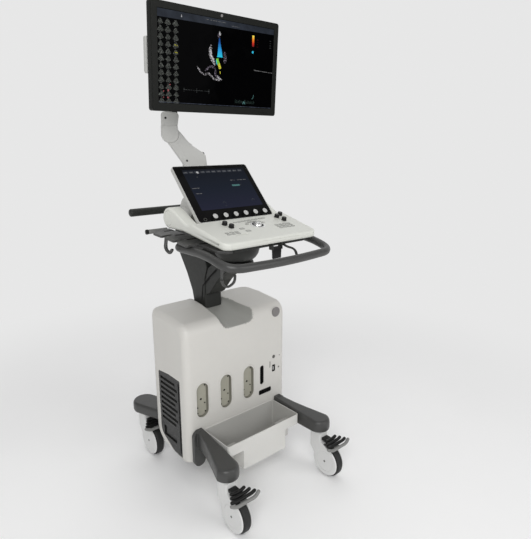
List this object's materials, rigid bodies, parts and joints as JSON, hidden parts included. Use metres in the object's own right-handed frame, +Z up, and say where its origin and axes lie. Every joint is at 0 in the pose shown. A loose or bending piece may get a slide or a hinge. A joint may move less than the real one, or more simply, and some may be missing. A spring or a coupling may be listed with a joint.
{
  "type": "ultrasound machine",
  "caption": "Mobile ultrasound machine: electronics body on braked casters, lifting column, control deck with tilting touch panel, and a monitor on a jointed arm.",
  "frame": {"origin": "on the floor, on the plane of symmetry of the body, below the middle of the machine's overall width and length", "axes": "+Z up, -Y the machine's front, which the screen faces, +X to the right of someone looking at the screen"},
  "size_m": [0.552, 0.732, 1.6623],
  "materials": {
    "body_grey": "satin moulded cover, light warm grey",
    "bin_grey": "satin moulded bin, light grey",
    "deck_white": "satin moulded cover, off-white",
    "arm_grey": "die-cast, satin light grey paint",
    "caster_grey": "satin moulded caster cover, grey",
    "dark_grey": "die-cast, satin dark grey paint",
    "vent_grey": "fine-textured dark grey",
    "black_plastic": "satin black",
    "tyre": "matt dark grey polyurethane tread",
    "port_beige": "matt beige-grey",
    "screen_glass": "glossy black display glass",
    "silver": "satin silver",
    "steel": "plain steel",
    "circuit_box": "plain box, stands for boards and cells"
  },
  "bodies": {
    "chassis": {"base_frame": "dark_grey", "leg_front_left": "dark_grey", "leg_front_right": "dark_grey", "body_shell": "body_grey", "rear_cover": "vent_grey", "side_vent_left": "vent_grey", "side_vent_right": "vent_grey", "probe_port_left": "port_beige", "probe_port_middle": "port_beige", "probe_port_right": "port_beige", "io_panel": "black_plastic", "front_bin": "bin_grey", "electronics_rack": "circuit_box", "power_supply": "circuit_box", "column_sleeve": "steel"},
    "fan": {"fan_rotor": "black_plastic"},
    "lift": {"lift_column": "dark_grey", "deck_bracket": "dark_grey", "rear_handle": "dark_grey", "arm_post": "arm_grey"},
    "deck": {"deck_shell": "deck_white", "deck_base": "dark_grey", "front_handle": "dark_grey", "cable_tray": "dark_grey", "cable_rail": "arm_grey", "trackball_cup": "black_plastic"},
    "lever": {"release_lever": "black_plastic"},
    "ball": {"trackball": "silver"},
    "touch_panel": {"touch_housing": "arm_grey", "touch_glass": "screen_glass"},
    "arm_turret": {"arm_swivel": "arm_grey"},
    "arm": {"arm_link": "arm_grey"},
    "knuckle": {"arm_knuckle": "arm_grey"},
    "yoke": {"monitor_yoke": "arm_grey"},
    "monitor": {"monitor_bezel": "black_plastic", "monitor_back": "arm_grey", "monitor_screen": "screen_glass"},
    "caster_front_left": {"caster_front_left": "caster_grey"},
    "wheel_front_left": {"wheel_front_left": "tyre"},
    "pedal_front_left": {"brake_pedal_front_left": "black_plastic"},
    "caster_front_right": {"caster_front_right": "caster_grey"},
    "wheel_front_right": {"wheel_front_right": "tyre"},
    "pedal_front_right": {"brake_pedal_front_right": "black_plastic"},
    "caster_rear_left": {"caster_rear_left": "caster_grey"},
    "wheel_rear_left": {"wheel_rear_left": "tyre"},
    "pedal_rear_left": {"brake_pedal_rear_left": "black_plastic"},
    "caster_rear_right": {"caster_rear_right": "caster_grey"},
    "wheel_rear_right": {"wheel_rear_right": "tyre"},
    "pedal_rear_right": {"brake_pedal_rear_right": "black_plastic"},
    "knob_left_rear": {"knob_left_rear": "black_plastic"},
    "knob_left_front": {"knob_left_front": "black_plastic"},
    "knob_right_rear": {"knob_right_rear": "black_plastic"},
    "knob_right_middle": {"knob_right_middle": "black_plastic"},
    "knob_right_front": {"knob_right_front": "black_plastic"},
    "encoder_1": {"encoder_1": "silver"},
    "encoder_2": {"encoder_2": "silver"},
    "encoder_3": {"encoder_3": "silver"},
    "encoder_4": {"encoder_4": "silver"},
    "encoder_5": {"encoder_5": "silver"},
    "encoder_6": {"encoder_6": "silver"}
  },
  "joints": [
    {"name": "fan_spin", "type": "hinge", "parent": "chassis", "child": "fan", "pos_m": [-0.19, 0.048, 0.32], "axis": [1, 0, 0], "continuous": true},
    {"name": "caster_front_left_swivel", "type": "hinge", "parent": "chassis", "child": "caster_front_left", "pos_m": [-0.224, -0.252, 0.12], "axis": [0, 0, 1], "continuous": true},
    {"name": "wheel_front_left_spin", "type": "hinge", "parent": "caster_front_left", "child": "wheel_front_left", "pos_m": [-0.224, -0.304, 0.06196], "axis": [1, 0, 0], "continuous": true},
    {"name": "pedal_front_left_press", "type": "hinge", "parent": "caster_front_left", "child": "pedal_front_left", "pos_m": [-0.224, -0.282, 0.1435], "axis": [1, 0, 0], "range_deg": [0, 12]},
    {"name": "caster_front_right_swivel", "type": "hinge", "parent": "chassis", "child": "caster_front_right", "pos_m": [0.224, -0.252, 0.12], "axis": [0, 0, 1], "continuous": true},
    {"name": "wheel_front_right_spin", "type": "hinge", "parent": "caster_front_right", "child": "wheel_front_right", "pos_m": [0.224, -0.304, 0.06196], "axis": [1, 0, 0], "continuous": true},
    {"name": "pedal_front_right_press", "type": "hinge", "parent": "caster_front_right", "child": "pedal_front_right", "pos_m": [0.224, -0.282, 0.1435], "axis": [1, 0, 0], "range_deg": [0, 12]},
    {"name": "caster_rear_left_swivel", "type": "hinge", "parent": "chassis", "child": "caster_rear_left", "pos_m": [-0.215, 0.316, 0.12], "axis": [0, 0, 1], "continuous": true},
    {"name": "wheel_rear_left_spin", "type": "hinge", "parent": "caster_rear_left", "child": "wheel_rear_left", "pos_m": [-0.215, 0.264, 0.06196], "axis": [1, 0, 0], "continuous": true},
    {"name": "pedal_rear_left_press", "type": "hinge", "parent": "caster_rear_left", "child": "pedal_rear_left", "pos_m": [-0.215, 0.286, 0.1435], "axis": [1, 0, 0], "range_deg": [0, 12]},
    {"name": "caster_rear_right_swivel", "type": "hinge", "parent": "chassis", "child": "caster_rear_right", "pos_m": [0.215, 0.316, 0.12], "axis": [0, 0, 1], "continuous": true},
    {"name": "wheel_rear_right_spin", "type": "hinge", "parent": "caster_rear_right", "child": "wheel_rear_right", "pos_m": [0.215, 0.264, 0.06196], "axis": [1, 0, 0], "continuous": true},
    {"name": "pedal_rear_right_press", "type": "hinge", "parent": "caster_rear_right", "child": "pedal_rear_right", "pos_m": [0.215, 0.286, 0.1435], "axis": [1, 0, 0], "range_deg": [0, 12]},
    {"name": "column_lift", "type": "slide", "parent": "chassis", "child": "lift", "axis": [0, 0, 1], "range_m": [0, 0.18]},
    {"name": "deck_swivel", "type": "hinge", "parent": "lift", "child": "deck", "pos_m": [0, -0.036, 0.838], "axis": [0, 0, 1], "range_deg": [-15, 15]},
    {"name": "lever_squeeze", "type": "hinge", "parent": "deck", "child": "lever", "pos_m": [0, -0.23, 0.913], "axis": [1, 0, 0], "range_deg": [0, 20]},
    {"name": "trackball_roll", "type": "hinge", "parent": "deck", "child": "ball", "pos_m": [0.016, -0.13283, 0.97092], "axis": [1, 0, 0], "continuous": true},
    {"name": "knob_left_rear_turn", "type": "hinge", "parent": "deck", "child": "knob_left_rear", "pos_m": [-0.099, -0.101, 0.9837], "axis": [0, -0.2334, 0.9724], "continuous": true},
    {"name": "knob_left_front_turn", "type": "hinge", "parent": "deck", "child": "knob_left_front", "pos_m": [-0.092, -0.128, 0.97722], "axis": [0, -0.2334, 0.9724], "continuous": true},
    {"name": "knob_right_rear_turn", "type": "hinge", "parent": "deck", "child": "knob_right_rear", "pos_m": [0.167, -0.08, 0.98874], "axis": [0, -0.2334, 0.9724], "continuous": true},
    {"name": "knob_right_middle_turn", "type": "hinge", "parent": "deck", "child": "knob_right_middle", "pos_m": [0.139, -0.094, 0.98538], "axis": [0, -0.2334, 0.9724], "continuous": true},
    {"name": "knob_right_front_turn", "type": "hinge", "parent": "deck", "child": "knob_right_front", "pos_m": [0.145, -0.126, 0.9777], "axis": [0, -0.2334, 0.9724], "continuous": true},
    {"name": "touch_panel_tilt", "type": "hinge", "parent": "deck", "child": "touch_panel", "pos_m": [0, 0.069, 0.998], "axis": [1, 0, 0], "range_deg": [-10, 0]},
    {"name": "encoder_1_turn", "type": "hinge", "parent": "touch_panel", "child": "encoder_1", "pos_m": [-0.097, -0.04018, 0.99966], "axis": [0, -0.7354, 0.6776], "continuous": true},
    {"name": "encoder_2_turn", "type": "hinge", "parent": "touch_panel", "child": "encoder_2", "pos_m": [-0.053, -0.04018, 0.99966], "axis": [0, -0.7354, 0.6776], "continuous": true},
    {"name": "encoder_3_turn", "type": "hinge", "parent": "touch_panel", "child": "encoder_3", "pos_m": [-0.009, -0.04018, 0.99966], "axis": [0, -0.7354, 0.6776], "continuous": true},
    {"name": "encoder_4_turn", "type": "hinge", "parent": "touch_panel", "child": "encoder_4", "pos_m": [0.035, -0.04018, 0.99966], "axis": [0, -0.7354, 0.6776], "continuous": true},
    {"name": "encoder_5_turn", "type": "hinge", "parent": "touch_panel", "child": "encoder_5", "pos_m": [0.079, -0.04018, 0.99966], "axis": [0, -0.7354, 0.6776], "continuous": true},
    {"name": "encoder_6_turn", "type": "hinge", "parent": "touch_panel", "child": "encoder_6", "pos_m": [0.123, -0.04018, 0.99966], "axis": [0, -0.7354, 0.6776], "continuous": true},
    {"name": "arm_swing", "type": "hinge", "parent": "lift", "child": "arm_turret", "pos_m": [0, 0.221, 1.08], "axis": [0, 0, 1], "range_deg": [-75, 30]},
    {"name": "arm_lower", "type": "hinge", "parent": "arm_turret", "child": "arm", "pos_m": [0.00264, 0.21957, 1.15], "axis": [-0.4756, -0.8796, 0], "range_deg": [-15, 25]},
    {"name": "arm_level", "type": "hinge", "parent": "arm", "child": "knuckle", "pos_m": [-0.07477, 0.26143, 1.277], "axis": [-0.4756, -0.8796, 0], "range_deg": [-25, 15]},
    {"name": "monitor_swivel", "type": "hinge", "parent": "knuckle", "child": "yoke", "pos_m": [-0.07477, 0.26143, 1.3074], "axis": [0, 0, 1], "range_deg": [-60, 60]},
    {"name": "monitor_tilt", "type": "hinge", "parent": "yoke", "child": "monitor", "pos_m": [0, 0.12059, 1.49517], "axis": [1, 0, 0], "range_deg": [-15, 25]}
  ],
  "couplings": [
    {"joint": "arm_level", "follows": "arm_lower", "ratio": -1}
  ]
}
